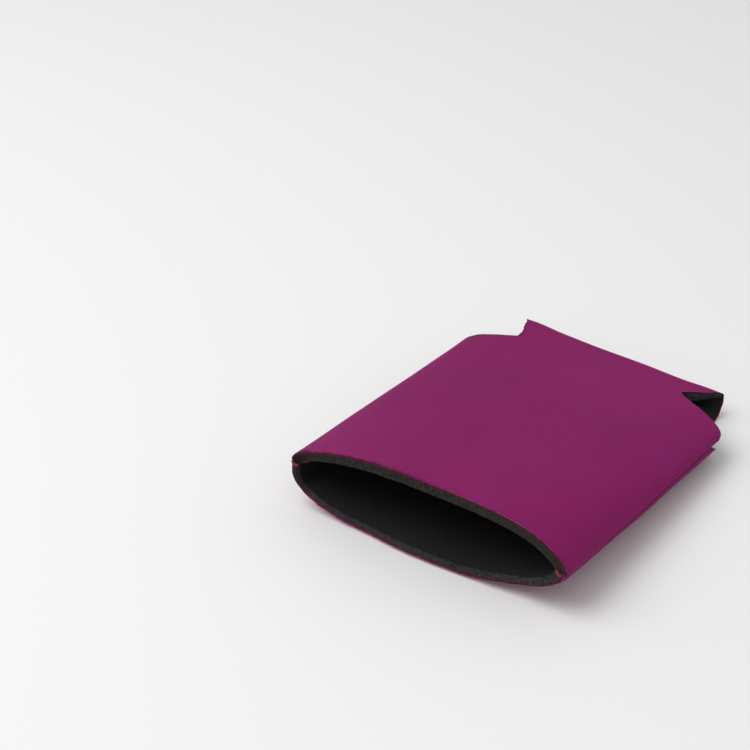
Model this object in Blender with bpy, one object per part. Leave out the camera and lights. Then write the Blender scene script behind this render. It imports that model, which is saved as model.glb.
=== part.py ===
# Can cooler sleeve, empty and lying on its side: one blank of cloth-faced foam, folded once across the base
# and sewn edge to edge along both sides. Metres, +Z up. X runs from seam to seam, Y from the mouth to the
# base fold, and the underside rests on z = 0.

import math

import bmesh
import bpy
import numpy as np

# The blank
FLAT_WIDTH = 0.1036          # across the sleeve where it lies flat
FLAT_LENGTH = 0.1292         # mouth to the crest of the base fold
CLOTH = 0.0004               # knit face cloth
FOAM = 0.0033                # foam sheet behind it
BOND_GAP = 0.0003            # between cloth and foam
WALL = CLOTH + BOND_GAP + FOAM

# How the empty sleeve stands open
MOUTH_HEIGHT = 0.0292        # top of the open mouth above the table
LEFT_SEAM_HEIGHT = 0.0170    # where the side seams end at the mouth
RIGHT_SEAM_HEIGHT = 0.0149
MOUTH_STRETCH = 1.028        # length of the mouth edge, pulled open, against the cloth round the flat end
PRESSED_FLAT = 0.0008        # how much of the rounded underside the table presses flat
FOLD_OPENING = 0.0028        # gap left inside the base fold
FOLD_LIFT = 0.0014           # the middle of the base fold off the table
FOLD_TWIST = math.radians(-1.9)
FOLD_SKEW = 0.024            # the fold runs this much out of square, as a slope

# Section shape: the first exponent squares the sides, the second rounds the crown
MOUTH_SHAPE = {
    ("left", "top"): (2.0, 1.5),
    ("right", "top"): (3.6, 1.5),
    ("left", "bottom"): (3.5, 2.8),
    ("right", "bottom"): (2.0, 1.5),
}
FOLD_SHAPE = (9.0, 2.0)

# Side seams
BUTT_GAP = 0.0003            # between the two sewn edges
SEAM_DIP = 0.0012            # the stitches pull the outer edges in by this much
SEAM_LIP = 0.0011            # height of the rounded lip on each side of the dip
THREAD = 0.0007
STITCH = 0.003
THREAD_NEAR = 0.0008         # the stitches swing between these distances from the foam's inner edge
THREAD_FAR = 0.0018
THREAD_CLEARANCE = 0.0003
END_STITCH = 0.0025          # how far the last stitch reaches over the cut edge at the mouth

# Notches at the base corners. Run, tip and corner are distances from the crest of the fold: the flap keeps
# its full width up to run, the V ends inside at tip, and its other leg would meet the side edge at corner.
# Inner and flap are half widths of the blank, at the tip of the V and at the flap.
CORNER_RADIUS = 0.012
RIGHT_TOP_RUN = 0.0021
RIGHT_TOP_TIP = 0.0129
RIGHT_BOTTOM_RUN = 0.0084
RIGHT_BOTTOM_TIP = 0.0149
RIGHT_CORNER = 0.0266
RIGHT_INNER = 0.0288
RIGHT_FLAP = 0.0403
LEFT_RUN = 0.0015
LEFT_TIP = 0.0163
LEFT_CORNER = 0.0276
LEFT_INNER = 0.0341
LEFT_FLAP = 0.0398

# Mesh fineness
SHARES = (0.0, 0.16, 0.32, 0.47, 0.6, 0.71, 0.8, 0.87, 0.92, 0.955, 0.98, 1.0)
PANEL_ROWS = 3
NOTCH_STEP = 0.0021
ROLL_STEPS = 8

COLUMNS = [-share for share in reversed(SHARES[1:])] + list(SHARES)
FOLD_THICKNESS = 2 * WALL + FOLD_OPENING
ROLL_RADIUS = FOLD_THICKNESS / 2
PANEL_LENGTH = FLAT_LENGTH - ROLL_RADIUS
HALF_ROLL = math.pi / 2 * (ROLL_RADIUS - WALL / 2)
FACES = {"top": 1, "bottom": -1}
SIDES = {"left": -1, "right": 1}
SEAM_HEIGHTS = {"left": LEFT_SEAM_HEIGHT, "right": RIGHT_SEAM_HEIGHT}
NOTCH_KEYS = ("run", "tip", "corner", "inner", "flap")
LEFT_NOTCH = dict(zip(NOTCH_KEYS, (LEFT_RUN, LEFT_TIP, LEFT_CORNER, LEFT_INNER, LEFT_FLAP)))
RIGHT_TOP = (RIGHT_TOP_RUN, RIGHT_TOP_TIP, RIGHT_CORNER, RIGHT_INNER, RIGHT_FLAP)
RIGHT_BOTTOM = (RIGHT_BOTTOM_RUN, RIGHT_BOTTOM_TIP, RIGHT_CORNER, RIGHT_INNER, RIGHT_FLAP)
NOTCHES = {
    ("left", "top"): LEFT_NOTCH,
    ("left", "bottom"): LEFT_NOTCH,
    ("right", "top"): dict(zip(NOTCH_KEYS, RIGHT_TOP)),
    ("right", "bottom"): dict(zip(NOTCH_KEYS, RIGHT_BOTTOM)),
}


def clearScene():
    for obj in list(bpy.data.objects):
        bpy.data.objects.remove(obj, do_unlink=True)


def finish(name, colour, roughness):
    material = bpy.data.materials.new(name)
    material.use_nodes = True
    shader = material.node_tree.nodes["Principled BSDF"]
    shader.inputs["Base Color"].default_value = (*colour, 1)
    shader.inputs["Roughness"].default_value = roughness
    shader.inputs["Metallic"].default_value = 0
    return material


def quarter(halfWidth, rise, shape, dip, lip):
    """Half a panel's section, from its middle to its sewn edge, with heights from the seam."""
    square, crown = shape
    turn = np.linspace(0, math.pi / 2, 160)
    x = halfWidth * np.sin(turn) ** (2 / square)
    z = lip + (rise - lip) * np.clip(np.cos(turn), 0, 1) ** (2 / crown)
    over = np.linspace(0, math.pi / 2, 16)[1:]
    x = np.append(x, halfWidth - dip * (1 - np.cos(over)))
    z = np.append(z, lip - (lip - BUTT_GAP / 2) * np.sin(over))
    return np.column_stack([x, z])


def lengths(points):
    return np.append(0, np.cumsum(np.hypot(*np.diff(points, axis=0).T)))


def atShare(points, share):
    """The point at this share of the curve's length."""
    run = lengths(points)
    return np.array([np.interp(share * run[-1], run, points[:, axis]) for axis in (0, 1)])


def outerAndInner(halfWidth, rise, shape):
    return (
        quarter(halfWidth, rise, shape, SEAM_DIP, SEAM_LIP),
        quarter(halfWidth - WALL, rise - WALL, shape, 0, BUTT_GAP / 2),
    )


def mouthRise(side, face):
    height = SEAM_HEIGHTS[side]
    return MOUTH_HEIGHT - height if face == "top" else height + PRESSED_FLAT


def mouthSection(halfWidth):
    return {
        (side, face): outerAndInner(halfWidth, mouthRise(side, face), MOUTH_SHAPE[side, face])
        for side, face in MOUTH_SHAPE
    }


def mouthHalfWidth():
    """The open mouth is narrower than the flat end, because the same cloth goes round both."""
    wanted = 4 * lengths(FOLD_SECTION[0])[-1] * MOUTH_STRETCH
    low, high = FLAT_WIDTH / 4, FLAT_WIDTH
    for _ in range(40):
        middle = (low + high) / 2
        girth = sum(lengths(outer)[-1] for outer, inner in mouthSection(middle).values())
        low, high = (middle, high) if girth < wanted else (low, middle)
    return (low + high) / 2


FOLD_SECTION = outerAndInner(FLAT_WIDTH / 2, ROLL_RADIUS, FOLD_SHAPE)
BLANK_HALF_WIDTH = lengths(FOLD_SECTION[0])[-1]
MOUTH_HALF_WIDTH = mouthHalfWidth()
MOUTH_SECTION = mouthSection(MOUTH_HALF_WIDTH)


def mix(first, second, share):
    return first + (second - first) * share


def sideOf(share):
    return "left" if share < 0 else "right"


def seamHeight(side, along):
    """Height of this side's seam before the twist."""
    return mix(SEAM_HEIGHTS[side], FOLD_LIFT + ROLL_RADIUS, along)


def twisted(x, z, along):
    """The section turned about the middle of the two seams."""
    angle = FOLD_TWIST * along
    pivot = (seamHeight("left", along) + seamHeight("right", along)) / 2
    rise = z - pivot
    turnedX = x * math.cos(angle) - rise * math.sin(angle)
    return turnedX, pivot + x * math.sin(angle) + rise * math.cos(angle)


def place(share, along, face, depth):
    """A point of a panel, by shares of its half width (left is negative), of its length and of its wall."""
    side = sideOf(share)
    atMouth = mix(*(atShare(curve, abs(share)) for curve in MOUTH_SECTION[side, face]), depth)
    atFold = mix(*(atShare(curve, abs(share)) for curve in FOLD_SECTION), depth)
    x, rise = mix(atMouth, atFold, along)
    x, z = twisted(SIDES[side] * x, seamHeight(side, along) + rise * FACES[face], along)
    if face == "bottom":
        z = max(z, depth * WALL)
    return x, along * (PANEL_LENGTH - FOLD_SKEW * x), z


def placeOnRoll(share, turn, depth):
    """A point of the base fold, turn going from 0 at the top panel to pi at the bottom one."""
    x, y, top = place(share, 1, "top", depth)
    bottom = place(share, 1, "bottom", depth)[2]
    radius = (top - bottom) / 2
    return x, y + radius * math.sin(turn), (top + bottom) / 2 + radius * math.cos(turn)


def edgeWidth(distance, notch):
    """Half width of the blank at this distance from the crest of the fold."""
    side, inner = BLANK_HALF_WIDTH, notch["inner"]
    if distance <= notch["run"]:
        return notch["flap"]
    if distance <= notch["tip"]:
        return mix(notch["flap"], inner, (distance - notch["run"]) / (notch["tip"] - notch["run"]))
    slope = math.atan2(side - inner, notch["corner"] - notch["tip"])
    tangent = CORNER_RADIUS * math.tan(slope / 2)
    if distance >= notch["corner"] + tangent:
        return side
    if distance <= notch["corner"] - tangent * math.cos(slope):
        return inner + (distance - notch["tip"]) * math.tan(slope)
    back = notch["corner"] + tangent - distance
    return side - CORNER_RADIUS + math.sqrt(CORNER_RADIUS ** 2 - back ** 2)


def seamEnd(side):
    """Distance from the crest of the fold to where this side's seam stops."""
    ends = []
    for face in FACES:
        notch = NOTCHES[side, face]
        slope = math.atan2(BLANK_HALF_WIDTH - notch["inner"], notch["corner"] - notch["tip"])
        ends.append(notch["corner"] + CORNER_RADIUS * math.tan(slope / 2))
    return max(ends)


def panelRows(face):
    """Distances from the crest of the fold, from the mouth to the start of the roll, for one panel."""
    notches = [NOTCHES[side, face] for side in SIDES]
    start = max(seamEnd("left"), seamEnd("right"))
    rows = list(np.linspace(HALF_ROLL + PANEL_LENGTH, start, PANEL_ROWS + 1))
    marks = sorted({notch[key] for notch in notches for key in ("tip", "run") if notch[key] > HALF_ROLL})
    marks = [HALF_ROLL, *marks, start]
    for low, high in zip(marks[:-1], marks[1:]):
        steps = max(1, round((high - low) / NOTCH_STEP))
        rows.extend(np.linspace(low, high, steps + 1)[:-1])
    return sorted(rows, reverse=True)


def blankRows():
    """Rows of the blank from the top mouth edge to the bottom one, as (kind, face, distance or turn)."""
    top = [("panel", "top", distance) for distance in panelRows("top")]
    turns = np.linspace(0, math.pi, ROLL_STEPS + 1)[1:-1]
    roll = [("roll", "top" if turn < math.pi / 2 else "bottom", turn) for turn in turns]
    bottom = [("panel", "bottom", distance) for distance in reversed(panelRows("bottom"))]
    return top + roll + bottom


def bend(row, column, depth):
    """Where a point of the flat blank lies once the blank is folded."""
    kind, face, value = row
    distance = abs(HALF_ROLL * (1 - value / (math.pi / 2))) if kind == "roll" else value
    share = column * edgeWidth(distance, NOTCHES[sideOf(column), face]) / BLANK_HALF_WIDTH
    if kind == "roll":
        return placeOnRoll(share, value, depth)
    along = 1 - (distance - HALF_ROLL) / PANEL_LENGTH
    return place(share, along, face, depth)


def layer(name, outerDepth, innerDepth, material):
    """One layer of the laminate: a flat slab of the blank's rows and columns, bent to the folded shape."""
    rows = blankRows()
    slab = bmesh.new()
    bmesh.ops.create_grid(slab, x_segments=len(COLUMNS) - 1, y_segments=len(rows) - 1, size=1)
    raised = bmesh.ops.extrude_face_region(slab, geom=slab.faces[:])
    for item in raised["geom"]:
        if isinstance(item, bmesh.types.BMVert):
            item.co.z = 1
    for vert in slab.verts:
        column = COLUMNS[round((vert.co.x + 1) / 2 * (len(COLUMNS) - 1))]
        row = rows[round((vert.co.y + 1) / 2 * (len(rows) - 1))]
        vert.co = bend(row, column, outerDepth if vert.co.z > 0.5 else innerDepth)
    bmesh.ops.recalc_face_normals(slab, faces=slab.faces[:])
    mesh = bpy.data.meshes.new(name)
    slab.to_mesh(mesh)
    slab.free()
    mesh.materials.append(material)
    mesh.shade_smooth()
    mesh.set_sharp_from_angle(angle=math.radians(50))
    obj = bpy.data.objects.new(name, mesh)
    bpy.context.scene.collection.objects.link(obj)
    return obj


def seamPoint(side, along, inward):
    """A point level with the seam, this far in from the foam's inner edge."""
    edge = mix(MOUTH_HALF_WIDTH, FLAT_WIDTH / 2, along) - WALL
    x, z = twisted(SIDES[side] * (edge - inward), seamHeight(side, along), along)
    return x, along * (PANEL_LENGTH - FOLD_SKEW * x), z


def seamThread(side, material):
    """The sewing thread inside a side seam, with its last stitch over the cut edges at the mouth."""
    proud = THREAD / 2 + THREAD_CLEARANCE
    points = []
    for inward in (-END_STITCH, THREAD_NEAR):
        x, y, z = seamPoint(side, 0, inward)
        points.append((x, y - proud, z))
    sewn = PANEL_LENGTH + HALF_ROLL - seamEnd(side)
    stitches = int(sewn / STITCH)
    for index in range(1, 2 * stitches):
        inward = THREAD_FAR if index % 2 else THREAD_NEAR
        points.append(seamPoint(side, index * STITCH / 2 / PANEL_LENGTH, inward))
    name = f"{side}_seam_thread"
    curve = bpy.data.curves.new(name, "CURVE")
    curve.dimensions = "3D"
    curve.bevel_depth = THREAD / 2
    curve.bevel_resolution = 1
    curve.use_fill_caps = True
    spline = curve.splines.new("POLY")
    spline.points.add(len(points) - 1)
    for knot, point in zip(spline.points, points):
        knot.co = (*point, 1)
    curve.materials.append(material)
    obj = bpy.data.objects.new(name, curve)
    bpy.context.scene.collection.objects.link(obj)
    return obj


def centreOverOrigin(pieces):
    """Put the origin under the middle of the whole sleeve, level with the table."""
    shown = bpy.context.evaluated_depsgraph_get()
    meshes = [piece.evaluated_get(shown).to_mesh() for piece in pieces]
    points = np.array([tuple(vert.co) for mesh in meshes for vert in mesh.vertices])
    middle = (points.min(axis=0) + points.max(axis=0)) / 2
    for piece in pieces:
        piece.location.xy = -middle[:2]


def main():
    clearScene()
    cloth = finish("magenta_knit", (0.216, 0.019, 0.104), 0.75)
    foam = finish("dark_foam", (0.026, 0.025, 0.024), 0.95)
    thread = finish("pink_red_thread", (0.42, 0.03, 0.10), 0.6)
    layers = [
        layer("fabric_face", 0, CLOTH / WALL, cloth),
        layer("foam_liner", (CLOTH + BOND_GAP) / WALL, 1, foam),
    ]
    centreOverOrigin(layers + [seamThread(side, thread) for side in SIDES])


main()
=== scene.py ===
import math

import bmesh
import bpy
import numpy as np
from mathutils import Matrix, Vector, noise


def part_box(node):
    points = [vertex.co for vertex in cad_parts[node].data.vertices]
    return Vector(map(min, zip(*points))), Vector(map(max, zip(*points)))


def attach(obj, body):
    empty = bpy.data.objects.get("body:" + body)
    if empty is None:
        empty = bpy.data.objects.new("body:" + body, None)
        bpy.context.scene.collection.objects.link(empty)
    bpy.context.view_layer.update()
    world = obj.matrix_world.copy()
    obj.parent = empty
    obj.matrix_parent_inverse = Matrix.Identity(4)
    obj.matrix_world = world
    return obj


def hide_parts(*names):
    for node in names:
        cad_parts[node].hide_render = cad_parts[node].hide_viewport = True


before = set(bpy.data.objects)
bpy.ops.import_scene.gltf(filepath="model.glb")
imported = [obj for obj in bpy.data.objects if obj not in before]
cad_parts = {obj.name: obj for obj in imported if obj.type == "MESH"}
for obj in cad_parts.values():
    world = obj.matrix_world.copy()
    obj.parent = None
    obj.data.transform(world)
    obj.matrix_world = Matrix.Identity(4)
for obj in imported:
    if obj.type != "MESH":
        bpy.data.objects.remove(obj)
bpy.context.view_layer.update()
clothLow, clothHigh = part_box("fabric_face")
print("frame loaded")

# The folded sleeve, in metres
sleeve = {
    "flatWidth": 0.1036,
    "flatLength": 0.1292,        # from the mouth to the fold
    "wall": 0.0040,              # cloth and foam together
    "cloth": 0.0005,
    "glueGap": 0.00002,
    "mouthHeight": 0.0292,
    "mouthStretch": 1.028,       # the mouth edge, pulled open, against the cloth round the flat end
    "leftSeamHeight": 0.0170,    # where the seams end at the mouth
    "rightSeamHeight": 0.0149,
    "pressedFlat": 0.0008,       # how far the table flattens the round underside
    "pressedShare": 0.8,         # of the wall's thickness, where the table presses it
    "foldOpening": 0.0028,
    "foldLift": 0.0014,
    "foldTwist": math.radians(-1.9),
    "foldSkew": 0.024,
    "buttGap": 0.0003,           # between the sewn edges of the two panels
    "mouthDip": 0.0004,          # the stitches pull the sewn edges in, less at the mouth than at the base
    "baseDip": 0.0012,
    "seamLip": 0.0011,           # how far from the joint the cloth turns in
    "reach": 0.0017,             # of the bottom panel past the top one, at the mouth
    "reachMiddle": -0.002,
    "reachWidth": 0.019,
    "reachEnd": 0.25,            # this and the other ends are shares of the way from the mouth to the fold
    "bulge": 0.0011,             # of the bottom panel beyond the left seam
    "bulgeAt": 0.88,             # shares of the half width
    "bulgeWidth": 0.1,
    "bulgeEnd": 1 / 3,
    "overhang": 0.0011,          # of the top panel past the bottom one, at the right of the mouth
    "overhangEnd": 0.5,
    "seamLift": 0.0016,          # of the right seam up the side
    "seamLiftRange": (0.25, 0.75),
    "tipRadius": 0.0017,         # at the inner end of each notch
}
# How square each side of the mouth is, and how round its crown
mouthShape = {
    ("left", "top"): (2.0, 1.5),
    ("right", "top"): (3.6, 1.5),
    ("left", "bottom"): (3.5, 2.8),
    ("right", "bottom"): (2.0, 1.5),
}
foldShape = (9.0, 2.0)
# Notches at the base corners: run, tip and corner from the crest of the fold, inner and flap from the middle,
# and the radius that rounds the corner
leftNotch = {"run": 0.0015, "tip": 0.0163, "corner": 0.0276, "inner": 0.0335, "flap": 0.0398, "round": 0.008}
rightNotch = {"run": 0.0021, "tip": 0.0129, "corner": 0.0266, "inner": 0.0277, "flap": 0.0403, "round": 0.012}
notches = {
    ("left", "top"): leftNotch,
    ("left", "bottom"): leftNotch,
    ("right", "top"): rightNotch,
    ("right", "bottom"): {**rightNotch, "run": 0.0084, "tip": 0.0149, "corner": 0.0272, "round": 0.016},
}
foldRadius = sleeve["wall"] + sleeve["foldOpening"] / 2
panelLength = sleeve["flatLength"] - foldRadius
halfRoll = math.pi / 2 * (foldRadius - sleeve["wall"] / 2)
halfLength = halfRoll + panelLength     # of the flat blank, from the crest of the fold to the mouth


# Half a panel's section, from its middle to its sewn edge, with heights from the seam
def quarter(halfWidth, rise, shape, dip, lip):
    square, crown = shape
    turn = np.linspace(0, math.pi / 2, 600)
    x = halfWidth * np.sin(turn) ** (2 / square)
    z = lip + (rise - lip) * np.clip(np.cos(turn), 0, 1) ** (2 / crown)
    over = np.linspace(0, math.pi / 2, 40)[1:]
    x = np.append(x, halfWidth - dip * (1 - np.cos(over)))
    z = np.append(z, lip - (lip - sleeve["buttGap"] / 2) * np.sin(over))
    return np.column_stack([x, z])


def runAlong(points):
    return np.append(0, np.cumsum(np.hypot(*np.diff(points, axis=0).T)))


def outerAndInner(halfWidth, rise, shape, dip):
    wall = sleeve["wall"]
    return (
        quarter(halfWidth, rise, shape, dip, sleeve["seamLip"]),
        quarter(halfWidth - wall, rise - wall, shape, 0, sleeve["buttGap"] / 2),
    )


def mouthSections(halfWidth):
    sections = {}
    for (side, face), shape in mouthShape.items():
        height = sleeve[side + "SeamHeight"]
        rise = sleeve["mouthHeight"] - height if face == "top" else height + sleeve["pressedFlat"]
        sections[side, face] = outerAndInner(halfWidth, rise, shape, sleeve["mouthDip"])
    return sections


# The same cloth goes round the mouth and the flat end, but for the stretch
def mouthHalfWidth():
    wanted = 4 * halfWidth * sleeve["mouthStretch"]
    low, high = halfWidth / 2, halfWidth * 2
    for _ in range(40):
        middle = (low + high) / 2
        girth = sum(runAlong(outer)[-1] for outer, inner in mouthSections(middle).values())
        low, high = (middle, high) if girth < wanted else (low, middle)
    return (low + high) / 2


foldSection = outerAndInner(sleeve["flatWidth"] / 2, foldRadius, foldShape, sleeve["baseDip"])
halfWidth = runAlong(foldSection[0])[-1]     # of the flat blank, from its middle to a side edge
mouthHalf = mouthHalfWidth()
mouthCurves = mouthSections(mouthHalf)


def blend(first, second, share):
    return first + (second - first) * share


def atShare(curve, share):
    run = runAlong(curve)
    return np.column_stack([np.interp(share * run[-1], run, curve[:, axis]) for axis in (0, 1)])


def seamHeight(side, along):
    return blend(sleeve[side + "SeamHeight"], sleeve["foldLift"] + foldRadius, along)


# The section turns a little from the mouth to the fold
def twisted(x, z, along):
    angle = sleeve["foldTwist"] * along
    pivot = (seamHeight("left", along) + seamHeight("right", along)) / 2
    rise = z - pivot
    return x * np.cos(angle) - rise * np.sin(angle), pivot + x * np.sin(angle) + rise * np.cos(angle)


# One at the mouth, and nothing from this share of the way to the fold on
def fadeBy(along, end):
    return np.clip(1 - along / end, 0, 1)


# Points of half a panel: share runs from its middle to its sewn edge, along from the mouth to the fold, and
# depth from the outside of the cloth to the inside of the foam
def onPanel(side, face, share, along, depth):
    atMouth = blend(*(atShare(curve, share) for curve in mouthCurves[side, face]), depth[:, None])
    atFold = blend(*(atShare(curve, share) for curve in foldSection), depth[:, None])
    section = blend(atMouth, atFold, along[:, None])
    sign = -1 if side == "left" else 1
    up = 1 if face == "top" else -1
    x, z = twisted(sign * section[:, 0], seamHeight(side, along) + up * section[:, 1], along)
    if side == "right":
        z = z + sleeve["seamLift"] * share ** 12 * np.interp(along, sleeve["seamLiftRange"], (0, 1))
    if face == "bottom":
        z = np.maximum(z, depth * sleeve["wall"])
        if side == "right":
            x = x - sleeve["overhang"] * share ** 4 * fadeBy(along, sleeve["overhangEnd"])
        else:
            swollen = np.exp(-((share - sleeve["bulgeAt"]) / sleeve["bulgeWidth"]) ** 2)
            x = x - sleeve["bulge"] * swollen * fadeBy(along, sleeve["bulgeEnd"]) ** 2
    y = along * (panelLength - sleeve["foldSkew"] * x)
    if face == "bottom":
        middle = np.exp(-((x - sleeve["reachMiddle"]) / sleeve["reachWidth"]) ** 2)
        y = y - sleeve["reach"] * middle * fadeBy(along, sleeve["reachEnd"]) ** 2
    return np.column_stack([x, y, z])


# The free corners of the fold stand up into a nose, and the foam is pinched thin round it
nose = {
    "from": 0.022,               # out from the middle of the fold
    "to": 0.036,
    "middle": 0.3,               # its share in the middle and at each end
    "left": 1.2,
    "right": 1.0,
    "outerRise": 0.0016,
    "innerRise": 0.0013,
    "pinch": {"left": 0.0018, "right": 0.0031},
    "sag": {"left": 0.0008, "right": 0.0021},
    "puff": 0.0015,              # the top flap's foam is thicker beside the notches
    "puffAcross": (0.021, 0.028),
    "puffAlong": (-0.003, 0.0, 0.013, 0.019),
    "shadedCutMiddle": -0.0085,       # the stretch of the foam's cut edge below that is painted in shade
    "shadedCutReach": 0.0095,
}


# Moves points round the roll of the fold, between the ends of the two panels
def overFold(side, share, along, across, length, depth):
    top, bottom = (onPanel(side, face, share, along, depth) for face in ("top", "bottom"))
    turn = math.pi / 2 * (1 - length / halfRoll)
    radius = (top[:, 2] - bottom[:, 2]) / 2
    places = blend(top, bottom, turn[:, None] / math.pi)
    stand = np.clip((np.abs(across) - nose["from"]) / (nose["to"] - nose["from"]), 0, 1)
    stand = blend(nose["middle"], nose[side], stand ** 2 * (3 - 2 * stand))
    rise = blend(nose["outerRise"], nose["innerRise"], depth) * np.sin(turn) ** 2
    rise -= nose["sag"][side] * depth * np.sin(np.maximum(2 * turn - math.pi, 0))
    places[:, 1] += (radius + stand * nose["pinch"][side] * depth) * np.sin(turn)
    places[:, 2] = (top[:, 2] + bottom[:, 2]) / 2 + radius * np.cos(turn) + stand * rise
    return places


# Where points of the flat blank lie on the folded sleeve; lengths on the top panel are positive
def folded(across, length, depth):
    share = np.abs(across) / halfWidth
    along = np.minimum(1 - (np.abs(length) - halfRoll) / panelLength, 1)
    places = np.zeros((len(across), 3))
    for side in ("left", "right"):
        onSide = (across < 0) == (side == "left")
        for face in ("top", "bottom"):
            here = onSide & ((length >= 0) == (face == "top"))
            places[here] = onPanel(side, face, share[here], along[here], depth[here])
        here = onSide & (np.abs(length) < halfRoll)
        places[here] = overFold(side, share[here], along[here], across[here], length[here], depth[here])
    puffed = np.interp(np.abs(across), nose["puffAcross"], (0, 1))
    puffed *= np.interp(length, nose["puffAlong"], (0, 1, 1, 0))
    places[:, 2] -= nose["puff"] * depth * puffed
    return places + mouthMiddle


# Where the middle of the mouth stands on the table: a line round both panels is laid on the cloth solid
def findMouth(lineAt=0.05):
    edge = np.linspace(-halfWidth, halfWidth, 400)
    around = folded(np.tile(edge, 2), np.repeat([lineAt, -lineAt], len(edge)), np.zeros(2 * len(edge)))
    return np.array([(clothLow.x + clothHigh.x - around[:, 0].min() - around[:, 0].max()) / 2, clothLow.y, 0])


mouthMiddle = np.zeros(3)
mouthMiddle = findMouth()

# The cutting and the small unevenness of cloth and foam
cut = {
    "ragged": {"left": 0.00045, "right": 0.00014},     # the knife's line through the notches
    "raggedPitch": 0.0019,
    "raggedFrom": 0.001,         # behind the sewn edge
    "mouthWave": 0.00022,        # the mouth's edge
    "mouthWavePitch": 0.009,
    "mouthWaveReach": 0.004,
    "fray": {"left": 0.00020, "right": 0.00005},
    "frayPitch": 0.0012,
    "swell": 0.00016,            # the panels
    "swellPitch": 0.021,
    "curlTop": 0.00032,          # the cloth is drawn in over the foam at the mouth
    "curlBottom": {"left": 0.0021, "right": 0.0006},
    "curlReach": 0.0019,
    "pucker": 0.00009,           # the stitches gather the cloth beside the seams
    "puckerFrom": 0.0012,
    "puckerReach": 0.0022,
    "stitch": 0.0030,
}
apart = 0.05                     # between the wanderings of two edges, so that they differ


# A smooth unevenness, from about -1 to 1
def wander(points, pitch):
    return 1.6 * np.array([noise.noise(Vector(point) / pitch) for point in points])


# Half width of the blank at these distances from the crest of the fold
def edgeWidth(distance, notch):
    inner, flap, tip = notch["inner"], notch["flap"], notch["tip"]
    slope = (halfWidth - inner) / (notch["corner"] - tip)
    flapLeg = inner + (tip - distance) * (flap - inner) / (tip - notch["run"])
    bodyLeg = inner + (distance - tip) * slope
    width = (flapLeg + bodyLeg + np.sqrt((flapLeg - bodyLeg) ** 2 + 4 * sleeve["tipRadius"] ** 2)) / 2
    width = np.where(distance <= tip, np.minimum(width, flap), width)
    radius, lean = notch["round"], math.atan(slope)
    end = notch["corner"] + radius * math.tan(lean / 2)
    start = notch["corner"] - radius * math.tan(lean / 2) * math.cos(lean)
    arc = halfWidth - radius + np.sqrt(np.maximum(radius ** 2 - (end - distance) ** 2, 0))
    return np.where(distance >= end, halfWidth, np.where(distance > start, arc, width))


# Distance from the crest of the fold to where this side's seam stops
def seamEnd(side):
    ends = []
    for face in ("top", "bottom"):
        notch = notches[side, face]
        lean = math.atan2(halfWidth - notch["inner"], notch["corner"] - notch["tip"])
        ends.append(notch["corner"] + notch["round"] * math.tan(lean / 2))
    return max(ends)


# Even steps of about this size, without the last point
def spread(low, high, step):
    return np.linspace(low, high, max(2, round((high - low) / step) + 1))[:-1]


# Lines across the blank, closer together at the mouth's rim, round the notches and over the fold
def blankRows(panelStep, notchStep, rim):
    busy = max(seamEnd("left"), seamEnd("right")) + 0.001
    half = [*spread(0, busy, notchStep), *spread(busy, halfLength - rim[0], panelStep)]
    half = np.array([*half, *(halfLength - step for step in rim), halfLength])
    return np.concatenate([-half[:0:-1], half])


# Lines along the blank, as shares of its half width
def blankColumns(step, rim):
    half = np.array([*spread(0, halfWidth - rim[0], step), *(halfWidth - gap for gap in rim), halfWidth])
    return np.concatenate([-half[:0:-1], half]) / halfWidth


# A slab over the blank's grid: x and y count its lines from -1 to 1, z goes from 0 outside to 1 inside
def slabMesh(name, columns, rows, slices):
    slab = bmesh.new()
    bmesh.ops.create_grid(slab, x_segments=len(columns) - 1, y_segments=len(rows) - 1, size=1)
    raised = bmesh.ops.extrude_face_region(slab, geom=slab.faces[:])["geom"]
    inside = [item for item in raised if isinstance(item, bmesh.types.BMVert)]
    bmesh.ops.translate(slab, vec=(0, 0, 1), verts=inside)
    if slices > 1:
        upright = [edge for edge in slab.edges if abs(edge.verts[0].co.z - edge.verts[1].co.z) > 0.5]
        bmesh.ops.subdivide_edges(slab, edges=upright, cuts=slices - 1, use_grid_fill=True)
    mesh = bpy.data.meshes.new(name)
    slab.to_mesh(mesh)
    slab.free()
    return mesh


def readPoints(mesh):
    points = np.empty(len(mesh.vertices) * 3)
    mesh.vertices.foreach_get("co", points)
    return points.reshape(-1, 3)


# Half the blank's width at each point, with the knife's line where a notch leaves the edge free
def cutWidth(column, length, raggedShare):
    width = np.zeros(len(column))
    for (side, face), notch in notches.items():
        here = ((column < 0) == (side == "left")) & ((length >= 0) == (face == "top"))
        width[here] = edgeWidth(np.abs(length[here]), notch)
    free = np.clip((halfWidth - width) / cut["raggedFrom"], 0, 1) * np.clip(np.abs(column) * 3 - 2, 0, 1)
    ragged = np.where(column < 0, cut["ragged"]["left"], cut["ragged"]["right"])
    places = np.column_stack([np.sign(column) * apart, length, np.zeros(len(column))])
    return width + free * ragged * raggedShare * wander(places, cut["raggedPitch"])


# How far the mouth's edge stands out at each point
def mouthWave(column, width, length):
    fray = blend(cut["fray"]["left"], cut["fray"]["right"], np.clip(column * 1.2 + 0.5, 0, 1))
    places = np.column_stack([column * width, np.sign(length) * apart, np.zeros(len(column))])
    wave = cut["mouthWave"] * wander(places, cut["mouthWavePitch"]) + fray * wander(places, cut["frayPitch"])
    return wave * np.clip(1 - (halfLength - np.abs(length)) / cut["mouthWaveReach"], 0, 1) ** 2


# How far the edges at the mouth turn in
def mouthCurl(column, length, edgeGap):
    curl = blend(cut["curlBottom"]["left"], cut["curlBottom"]["right"], np.clip(column * 0.5 + 0.5, 0, 1))
    curl = np.where(length > 0, cut["curlTop"], curl)
    return curl * (1 - np.sqrt(1 - np.clip(1 - edgeGap / cut["curlReach"], 0, 1) ** 2))


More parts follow.
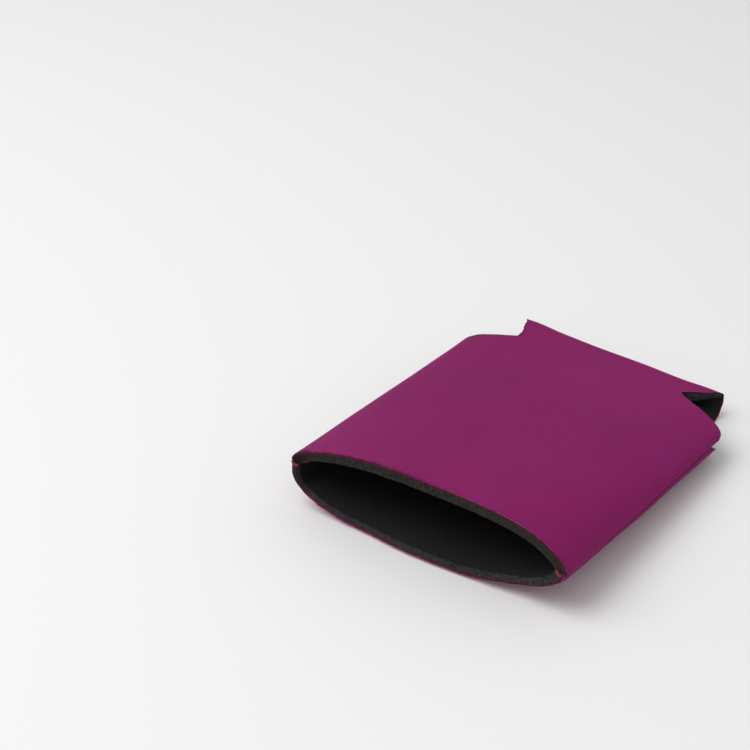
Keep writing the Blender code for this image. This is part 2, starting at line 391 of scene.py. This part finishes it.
# Where a layer's points come to lie, on its swollen and gathered panels
def laidPlaces(across, length, depth):
    outer, inner = folded(across, length, depth * 0), folded(across, length, depth * 0 + 1)
    out = (outer - inner) / np.maximum(np.linalg.norm(outer - inner, axis=1), 1e-5)[:, None]
    lift = cut["swell"] * wander(np.column_stack([across, length, np.zeros(len(across))]), cut["swellPitch"])
    gather = 0.5 + 0.5 * np.cos(2 * math.pi * length / cut["stitch"])
    fromSeam = halfWidth - np.abs(across) - cut["puckerFrom"]
    lift -= cut["pucker"] * gather * np.exp(-(fromSeam / cut["puckerReach"]) ** 2)
    places = blend(outer, inner, depth[:, None]) + out * lift[:, None]
    places[:, 2] = np.maximum(places[:, 2], depth * sleeve["wall"] * sleeve["pressedShare"])
    return places


# Cuts the slab to the blank's outline and folds it; layer holds its own values
def layFolded(mesh, columns, rows, layer):
    grid = readPoints(mesh)
    column = columns[np.rint((grid[:, 0] + 1) / 2 * (len(columns) - 1)).astype(int)]
    length = rows[np.rint((grid[:, 1] + 1) / 2 * (len(rows) - 1)).astype(int)]
    level = grid[:, 2]
    onSide, onEnd = np.abs(column) > 0.9999, np.abs(length) > halfLength - 1e-6
    width = cutWidth(column, length, layer["ragged"])
    edgeGap = halfLength - np.abs(length)
    sideGap = np.where(halfWidth - width > 0.0003, width * (1 - np.abs(column)), 1)
    across = column * width
    length = length + np.sign(length) * mouthWave(column, width, length)

    # open cells in the cut faces
    if layer["cell"]:
        places = np.column_stack([across, length, level * layer["thick"]])
        pit = np.clip(wander(places, layer["cell"]) + 0.2, 0, 1)
        pit *= layer["cellDepth"] * np.sin(math.pi * level)
        across = np.where(onSide, across - np.sign(across) * pit, across)
        length = np.where(onEnd, length - np.sign(length) * pit, length)

    curl = mouthCurl(column, length, edgeGap)
    depth = (layer["from"] + level * layer["thick"] + curl * (1 - level * layer["held"])) / sleeve["wall"]
    mesh.vertices.foreach_set("co", laidPlaces(across, length, depth).ravel())

    corners = np.empty(len(mesh.loops), dtype=int)
    mesh.loops.foreach_get("vertex_index", corners)
    flat = np.column_stack([across, length])[corners]
    mesh.uv_layers.new(name="blank").uv.foreach_set("vector", flat.ravel())
    # millimetres from the nearest cut edge, below zero on the faces and above it on the cut itself
    rim = np.maximum(-np.minimum(edgeGap, sideGap), -0.003) * 1000
    rim = np.where(onSide | onEnd, 0.001 + level * layer["thick"] * 1000, rim)
    # the cut foam under the nose is painted in shade, as dark as the lining
    if layer["cell"]:
        rim = np.where(onSide & (np.abs(length - nose["shadedCutMiddle"]) < nose["shadedCutReach"]), -0.3, rim)
    mesh.attributes.new("rim", "FLOAT", "POINT").data.foreach_set("value", rim)


def finishedPiece(mesh, name, material, node):
    solid = bmesh.new()
    solid.from_mesh(mesh)
    bmesh.ops.recalc_face_normals(solid, faces=solid.faces[:])
    solid.to_mesh(mesh)
    solid.free()
    mesh.materials.append(material)
    mesh.shade_smooth()
    mesh.set_sharp_from_angle(angle=math.radians(50))
    piece = bpy.data.objects.new(name, mesh)
    bpy.context.scene.collection.objects.link(piece)
    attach(piece, "root")
    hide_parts(node)
    return piece


# Materials are put together from these small helpers
def newMaterial(name):
    material = bpy.data.materials.new(name)
    material.use_nodes = True
    return material, material.node_tree, material.node_tree.nodes["Principled BSDF"]


def put(tree, socket, value):
    if isinstance(value, bpy.types.NodeSocket):
        tree.links.new(value, socket)
    else:
        socket.default_value = value


def fillIn(tree, node, inputs):
    for name, value in inputs.items():
        put(tree, node.inputs[name], value)


def addNode(tree, kind, inputs=None, **settings):
    node = tree.nodes.new(kind)
    for name, value in settings.items():
        setattr(node, name, value)
    fillIn(tree, node, inputs or {})
    return node


def position(tree, where):
    return addNode(tree, "ShaderNodeSeparateXYZ", {0: where}).outputs


def calc(tree, operation, *values):
    node = addNode(tree, "ShaderNodeMath", operation=operation)
    for socket, value in zip(node.inputs, values):
        put(tree, socket, value)
    return node.outputs[0]


def mixed(tree, share, first, second, mode="MIX"):
    node = addNode(tree, "ShaderNodeMix", data_type="RGBA", blend_type=mode)
    for socket, value in zip([node.inputs[0], node.inputs[6], node.inputs[7]], (share, first, second)):
        put(tree, socket, value)
    return node.outputs[2]


def vectorCalc(tree, operation, **inputs):
    named = {"first": 0, "second": 1, "scale": "Scale"}
    inputs = {named[name]: value for name, value in inputs.items()}
    return addNode(tree, "ShaderNodeVectorMath", inputs, operation=operation).outputs[0]


def ranged(tree, value, low, high, toLow=0.0, toHigh=1.0):
    inputs = {"Value": value, "From Min": low, "From Max": high, "To Min": toLow, "To Max": toHigh}
    return addNode(tree, "ShaderNodeMapRange", inputs).outputs[0]


def cloud(tree, where, scale, detail=3.0, rough=0.5):
    inputs = {"Vector": where, "Scale": scale, "Detail": detail, "Roughness": rough}
    return addNode(tree, "ShaderNodeTexNoise", inputs).outputs["Fac"]


def bumped(tree, height, distance, strength, under=None):
    inputs = {"Height": height, "Distance": distance, "Strength": strength}
    node = addNode(tree, "ShaderNodeBump", inputs)
    if under is not None:
        put(tree, node.inputs["Normal"], under)
    return node.outputs[0]


def colour(red, green, blue):
    return (red, green, blue, 1)


# Knit cloth: columns of small V-shaped loops along the sleeve, matt with a little pile
knit = {
    "base": colour(0.252, 0.0090, 0.119),
    "deep": colour(0.178, 0.0050, 0.079),
    "plum": colour(0.212, 0.0095, 0.128),
    "paintedRimHighlight": colour(0.42, 0.12, 0.26),
    "cutEdge": colour(0.055, 0.006, 0.024),
    "frayed": colour(0.070, 0.004, 0.024),
    "leftEndShade": colour(0.036, 0.004, 0.020),
    "shadedLeftEnd": (-0.0425, -0.0455),     # where painted shade darkens the left end of the mouth
    "sheen": colour(1.0, 0.62, 0.85),
    "wale": 0.00058,             # width of a column of loops
    "course": 0.00046,
    "loopDepth": 0.00010,
    "sway": 0.00035,
}


def knitMaterial():
    material, tree, surface = newMaterial("magentaKnit")
    blank = addNode(tree, "ShaderNodeUVMap", uv_map="blank").outputs[0]
    solid = addNode(tree, "ShaderNodeTexCoord").outputs["Object"]

    # the yarn isn't laid quite evenly
    sway = addNode(tree, "ShaderNodeTexNoise", {"Vector": solid, "Scale": 420.0, "Detail": 2.0})
    sway = vectorCalc(tree, "SUBTRACT", first=sway.outputs["Color"], second=(0.5, 0.5, 0.5))
    sway = vectorCalc(tree, "SCALE", first=sway, scale=knit["sway"])
    laid = position(tree, vectorCalc(tree, "ADD", first=blank, second=sway))
    side = calc(tree, "PINGPONG", calc(tree, "DIVIDE", laid[0], knit["wale"]), 0.5)
    leg = calc(tree, "SINE", calc(tree, "MULTIPLY", side, 2 * math.pi))
    climb = calc(tree, "ADD", calc(tree, "DIVIDE", laid[1], knit["course"]), side)
    yarn = calc(tree, "ABSOLUTE", calc(tree, "SINE", calc(tree, "MULTIPLY", climb, math.pi)))
    loops = calc(tree, "MULTIPLY", leg, calc(tree, "ADD", calc(tree, "MULTIPLY", yarn, 0.6), 0.4))
    fibres = cloud(tree, solid, 9000.0, 2.0)
    patches = cloud(tree, solid, 75.0, 4.0, 0.55)
    broad = cloud(tree, solid, 22.0, 2.0)

    shade = calc(tree, "ADD", calc(tree, "MULTIPLY", loops, 0.55), calc(tree, "MULTIPLY", fibres, 0.45))
    tint = mixed(tree, ranged(tree, shade, 0.15, 0.75), knit["deep"], knit["base"])
    tint = mixed(tree, ranged(tree, patches, 0.42, 0.70, 0.0, 0.45), tint, knit["plum"])
    uneven = {name: ranged(tree, broad, 0.3, 0.7, 0.93, 1.06) for name in ("Red", "Green", "Blue")}
    uneven = addNode(tree, "ShaderNodeCombineColor", uneven).outputs[0]
    tint = mixed(tree, 1.0, tint, uneven, "MULTIPLY")

    # the cloth's cut edge: a painted highlight along the outer rim, stronger to the right, and the cut itself
    # is dark
    rim = addNode(tree, "ShaderNodeAttribute", attribute_name="rim").outputs["Fac"]
    broken = ranged(tree, cloud(tree, solid, 420.0, 2.0), 0.40, 0.58)
    place = position(tree, solid)
    lit = ranged(tree, place[0], -0.030, 0.020, 0.05, 0.55)
    light = calc(tree, "MULTIPLY", calc(tree, "MULTIPLY", ranged(tree, rim, -0.32, -0.08), lit), broken)
    tint = mixed(tree, light, tint, knit["paintedRimHighlight"])
    tint = mixed(tree, ranged(tree, rim, -0.06, 0.06), tint, knit["cutEdge"])

    # the top panel's edge is frayed and dark, most of all to the left, and painted shade darkens the mouth's
    # left end most
    threads = ranged(tree, cloud(tree, solid, 700.0, 3.0, 0.7), 0.35, 0.65, -0.15, 0.85)
    frayed = ranged(tree, calc(tree, "ADD", rim, threads), -0.24, -0.10)
    frayed = calc(tree, "MULTIPLY", frayed, ranged(tree, lit, 0.15, 0.45, 1.0, 0.25))
    frayed = calc(tree, "MULTIPLY", frayed, ranged(tree, place[2], 0.010, 0.014))
    tint = mixed(tree, frayed, tint, knit["frayed"])
    end = calc(tree, "MULTIPLY", ranged(tree, place[0], *knit["shadedLeftEnd"]), ranged(tree, rim, -2.6, -1.2))
    tint = mixed(tree, end, tint, knit["leftEndShade"])

    soft = bumped(tree, cloud(tree, solid, 260.0, 3.0), 0.0006, 0.25)
    fillIn(tree, surface, {
        "Base Color": tint,
        "Roughness": 0.82,
        "Specular IOR Level": 0.12,
        "Sheen Weight": 0.06,
        "Sheen Roughness": 0.45,
        "Sheen Tint": knit["sheen"],
        "Normal": bumped(tree, shade, knit["loopDepth"], 0.8, soft),
    })
    return material


# Foam: dark, open-celled, with a warm and a cool grey in its cut faces
foam = {
    "dark": colour(0.0085, 0.0085, 0.0085),
    "grey": colour(0.060, 0.052, 0.040),
    "cool": colour(0.080, 0.083, 0.081),
    "skin": colour(0.0205, 0.0205, 0.0200),
    # painted light: the paler grey at the base flap
    "flap": colour(0.135, 0.130, 0.118),
    "leftEndShadeShare": 0.65,            # how dark the painted shade at the mouth's left end turns
    "cell": 0.0006,
    "cellDepth": 0.00026,
}


def cellPattern(tree, solid, finer):
    inputs = {"Vector": solid, "Scale": finer / foam["cell"], "Randomness": 1.0}
    return addNode(tree, "ShaderNodeTexVoronoi", inputs).outputs["Distance"]


def foamMaterial():
    material, tree, surface = newMaterial("darkFoam")
    solid = addNode(tree, "ShaderNodeTexCoord").outputs["Object"]
    cells, small = (cellPattern(tree, solid, finer) for finer in (1.4, 3.4))
    crumb = cloud(tree, solid, 2600.0, 4.0, 0.65)
    height = calc(tree, "ADD", calc(tree, "MULTIPLY", cells, 0.6), calc(tree, "MULTIPLY", small, 0.3))
    height = calc(tree, "ADD", height, calc(tree, "MULTIPLY", crumb, 0.5))

    # warm grey above and cool below, and a painted light makes it paler at the base flap
    place = position(tree, solid)
    upper = ranged(tree, place[2], 0.010, 0.016)
    grey = mixed(tree, upper, foam["cool"], foam["grey"])
    grey = mixed(tree, ranged(tree, place[1], 0.020, 0.040), grey, foam["flap"])

    # the cut face is coarser at the right of the bottom panel and at the left of the top one
    grain = ranged(tree, cloud(tree, solid, 2100.0, 3.0, 0.7), 0.38, 0.64)
    coarseBelow = ranged(tree, place[0], -0.012, 0.012, 0.35, 1.0)
    coarseAbove = ranged(tree, place[0], 0.012, 0.032, 1.0, 0.35)
    coarse = mixed(tree, upper, coarseBelow, coarseAbove)
    tint = mixed(tree, mixed(tree, coarse, colour(0.5, 0.5, 0.5), grain), foam["dark"], grey)
    tint = mixed(tree, ranged(tree, height, 0.30, 0.75, 0.35, 1.0), foam["dark"], tint)
    rim = addNode(tree, "ShaderNodeAttribute", attribute_name="rim").outputs["Fac"]
    tint = mixed(tree, ranged(tree, rim, -0.25, 0.0), foam["skin"], tint)
    # painted shade darkens the foam at the mouth's left end
    tint = mixed(tree, ranged(tree, place[0], *knit["shadedLeftEnd"], 0.0, foam["leftEndShadeShare"]), tint, foam["dark"])
    fillIn(tree, surface, {
        "Base Color": tint,
        "Roughness": 0.93,
        "Specular IOR Level": 0.08,
        "Normal": bumped(tree, height, 0.0004, 0.9),
    })
    return material


# Sewing thread: two plies, slightly shiny
thread = {
    "base": colour(0.30, 0.014, 0.040),
    "dark": colour(0.15, 0.006, 0.022),
    "ply": 0.00028,              # radius of each ply
    "twist": 0.0013,             # length of one turn of the plies
    "pressed": 0.8,              # how far the plies' middles stand from the thread's, in their radius
    "step": 0.00022,
    "near": 0.0004,              # how far inside the foam's inner edge the stitches turn
    "far": 0.00084,              # and how far where they cross the joint
    "rise": 0.0011,              # how far each stitch reaches over the joint
    "above": {"left": 0.0006, "right": 0.0009},     # how far the row runs above the joint
    # the last stitch, over the cut edges at the mouth: out from the foam's inner edge, and its slant
    "last": {"left": (0.0029, 0.0012, -0.0010), "right": (0.0016, 0.0004, 0.0010)},
}


def threadMaterial():
    material, tree, surface = newMaterial("pinkRedThread")
    solid = addNode(tree, "ShaderNodeTexCoord").outputs["Object"]
    spun = ranged(tree, cloud(tree, solid, 4200.0, 3.0), 0.35, 0.65)
    fillIn(tree, surface, {
        "Base Color": mixed(tree, spun, thread["dark"], thread["base"]),
        "Roughness": 0.48,
        "Sheen Weight": 0.08,
        "Normal": bumped(tree, cloud(tree, solid, 9000.0), 0.0001, 0.5),
    })
    return material


# The layers: from is measured from the outside, held is how far the inner face keeps out of the curl, and rim
# gives the grid's lines beside the cut edges
clothLayer = {
    "from": 0.0,
    "thick": sleeve["cloth"],
    "held": 0.0,
    "ragged": 1.0,
    "cell": 0,
    "rim": (0.0024, 0.0016, 0.0011, 0.00075, 0.00045, 0.0002, 0.00007),
}
foamLayer = {
    "from": sleeve["cloth"] + sleeve["glueGap"],
    "thick": sleeve["wall"] - sleeve["cloth"] - sleeve["glueGap"],
    "held": 1.0,
    "ragged": 0.6,
    "cell": foam["cell"],
    "cellDepth": foam["cellDepth"],
    "rim": (0.0016, 0.0011, 0.0007, 0.0004, 0.0002),
}


def makeCloth():
    columns = blankColumns(step=0.0013, rim=clothLayer["rim"])
    rows = blankRows(panelStep=0.0030, notchStep=0.00045, rim=clothLayer["rim"])
    mesh = slabMesh("knitFace", columns, rows, slices=2)
    layFolded(mesh, columns, rows, clothLayer)
    return finishedPiece(mesh, "knitFace", knitMaterial(), "fabric_face")


def makeFoam():
    columns = blankColumns(step=0.00062, rim=foamLayer["rim"])
    rows = blankRows(panelStep=0.0050, notchStep=0.00062, rim=foamLayer["rim"])
    mesh = slabMesh("foamLiner", columns, rows, slices=7)
    layFolded(mesh, columns, rows, foamLayer)
    return finishedPiece(mesh, "foamLiner", foamMaterial(), "foam_liner")


# A point beside the seam: inward from the foam's inner edge, rise from the joint
def seamPoint(side, along, inward, rise):
    edge = blend(mouthHalf, sleeve["flatWidth"] / 2, along) - sleeve["wall"]
    x, z = twisted((-1 if side == "left" else 1) * (edge - inward), seamHeight(side, along) + rise, along)
    return Vector((x, along * (panelLength - sleeve["foldSkew"] * x), z)) + Vector(mouthMiddle)


# The thread's way: round the cut edges at the mouth, then in a zigzag along the seam
def seamRoute(side):
    start, end, slant = thread["last"][side]
    # along the sleeve, inward and up
    steps = (
        (0.008, -start, 0.0),
        (-0.0035, -start, 0.0),
        (-0.0050, -(start + end) / 2, slant / 2),
        (-0.0035, -end, slant),
        (0.008, -end, slant * 0.6),
        (0.016, 0.0, 0.0),
    )
    above = thread["above"][side]
    route = [seamPoint(side, *step) for step in steps]
    stitches = int((halfLength - seamEnd(side)) / cut["stitch"])
    for index in range(2, 2 * stitches):
        up = 1 if index % 2 else -1
        along = index * cut["stitch"] / 2 / panelLength
        route.append(seamPoint(side, along, thread["near"], up * thread["rise"] + above))
        route.append(seamPoint(side, along + cut["stitch"] / 4 / panelLength, thread["far"], above))
    return route


# A smooth line through the route's points, cut into short steps
def smoothLine(route, step):
    line = []
    before, after = [route[0], *route[:-2]], [*route[2:], route[-1]]
    for first, start, end, last in zip(before, route[:-1], route[1:], after):
        pieces = max(2, round((end - start).length / step))
        for index in range(pieces):
            share = index / pieces
            square = (2 * first - 5 * start + 4 * end - last) * share * share
            cube = (3 * start - first - 3 * end + last) * share ** 3
            line.append(0.5 * (2 * start + (end - first) * share + square + cube))
    return [*line, route[-1]]


# Two plies wound round each other along the route
def plies(route):
    line = smoothLine(route, thread["step"])
    wound = [[], []]
    gone = 0.0
    for index, point in enumerate(line):
        way = (line[min(index + 1, len(line) - 1)] - line[max(index - 1, 0)]).normalized()
        gone += (point - line[max(index - 1, 0)]).length
        flat = (way.orthogonal() if abs(way.z) > 0.95 else way.cross(Vector((0, 0, 1)))).normalized()
        high = way.cross(flat)
        for ply in (0, 1):
            turn = 2 * math.pi * gone / thread["twist"] + ply * math.pi
            aside = thread["ply"] * thread["pressed"] * (flat * math.cos(turn) + high * math.sin(turn))
            wound[ply].append(point + aside)
    return wound


def makeThread(side, material):
    name = f"{side}SeamThread"
    curve = bpy.data.curves.new(name, "CURVE")
    curve.dimensions = "3D"
    curve.bevel_depth = thread["ply"]
    curve.bevel_resolution = 1
    curve.use_fill_caps = True
    for points in plies(seamRoute(side)):
        spline = curve.splines.new("POLY")
        spline.points.add(len(points) - 1)
        for knot, point in zip(spline.points, points):
            knot.co = (*point, 1)
        spline.use_smooth = True
    curve.materials.append(material)
    piece = bpy.data.objects.new(name, curve)
    bpy.context.scene.collection.objects.link(piece)
    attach(piece, "root")
    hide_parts(f"{side}_seam_thread")
    return piece


clothPiece = makeCloth()
print("cloth folded")
foamPiece = makeFoam()
print("foam folded")
threadFinish = threadMaterial()
threads = [makeThread(side, threadFinish) for side in ("left", "right")]
print("seams sewn")

# Camera, table and lights, in the photographer's own frame: forward along the table from under the camera
studio = {
    "cameraHeight": 0.3305,
    "cameraFromMouth": (0.2379, -0.3643),
    "pitch": math.radians(31.28),     # below the horizon
    "turn": math.radians(35.07),
    "lens": 84.23,               # both in millimetres
    "sensor": 36,
    "floor": colour(0.87, 0.87, 0.865),
    "floorHalf": 6,
    "floorDrop": 0.0002,
    "sky": 0.58,
    "keyPower": 8.8,
    "keySize": 1.0,
    "keyFrom": (-0.60, 0.40, 1.0),     # right, forward and up from under the camera
}


def underCamera(right, forward, up):
    turn = studio["turn"]
    x, y = (offset + middle for offset, middle in zip(studio["cameraFromMouth"], mouthMiddle))
    x += right * math.cos(turn) - forward * math.sin(turn)
    y += right * math.sin(turn) + forward * math.cos(turn)
    return Vector((x, y, up))


def makeCamera():
    camera = bpy.data.objects.new("camera", bpy.data.cameras.new("camera"))
    camera.data.lens = studio["lens"]
    camera.data.sensor_width = studio["sensor"]
    camera.data.clip_start = 0.01
    camera.location = underCamera(0, 0, studio["cameraHeight"])
    camera.rotation_euler = (math.pi / 2 - studio["pitch"], 0, studio["turn"])
    bpy.context.scene.collection.objects.link(camera)
    bpy.context.scene.camera = camera


def makeFloor():
    mesh = bpy.data.meshes.new("floor")
    flat = bmesh.new()
    bmesh.ops.create_grid(flat, x_segments=1, y_segments=1, size=studio["floorHalf"])
    flat.to_mesh(mesh)
    flat.free()
    material, tree, surface = newMaterial("paleTable")
    fillIn(tree, surface, {"Base Color": studio["floor"], "Roughness": 0.6, "Specular IOR Level": 0.2})
    mesh.materials.append(material)
    floor = bpy.data.objects.new("floor", mesh)
    floor.location.z = -studio["floorDrop"]
    bpy.context.scene.collection.objects.link(floor)


def makeLights():
    world = bpy.data.worlds.new("studio")
    world.use_nodes = True
    backdrop = world.node_tree.nodes["Background"]
    fillIn(world.node_tree, backdrop, {"Color": colour(1, 1, 1), "Strength": studio["sky"]})
    bpy.context.scene.world = world
    light = bpy.data.lights.new("softbox", "AREA")
    light.shape = "SQUARE"
    light.size = studio["keySize"]
    light.energy = studio["keyPower"]
    softbox = bpy.data.objects.new("softbox", light)
    softbox.location = underCamera(*studio["keyFrom"])
    aim = Vector((0, 0, 0)) - softbox.location
    softbox.rotation_euler = aim.to_track_quat("-Z", "Y").to_euler()
    bpy.context.scene.collection.objects.link(softbox)


makeCamera()
makeFloor()
makeLights()
bpy.context.scene.view_settings.view_transform = "Standard"
print("camera, table and lights set")

bpy.context.view_layer.update()
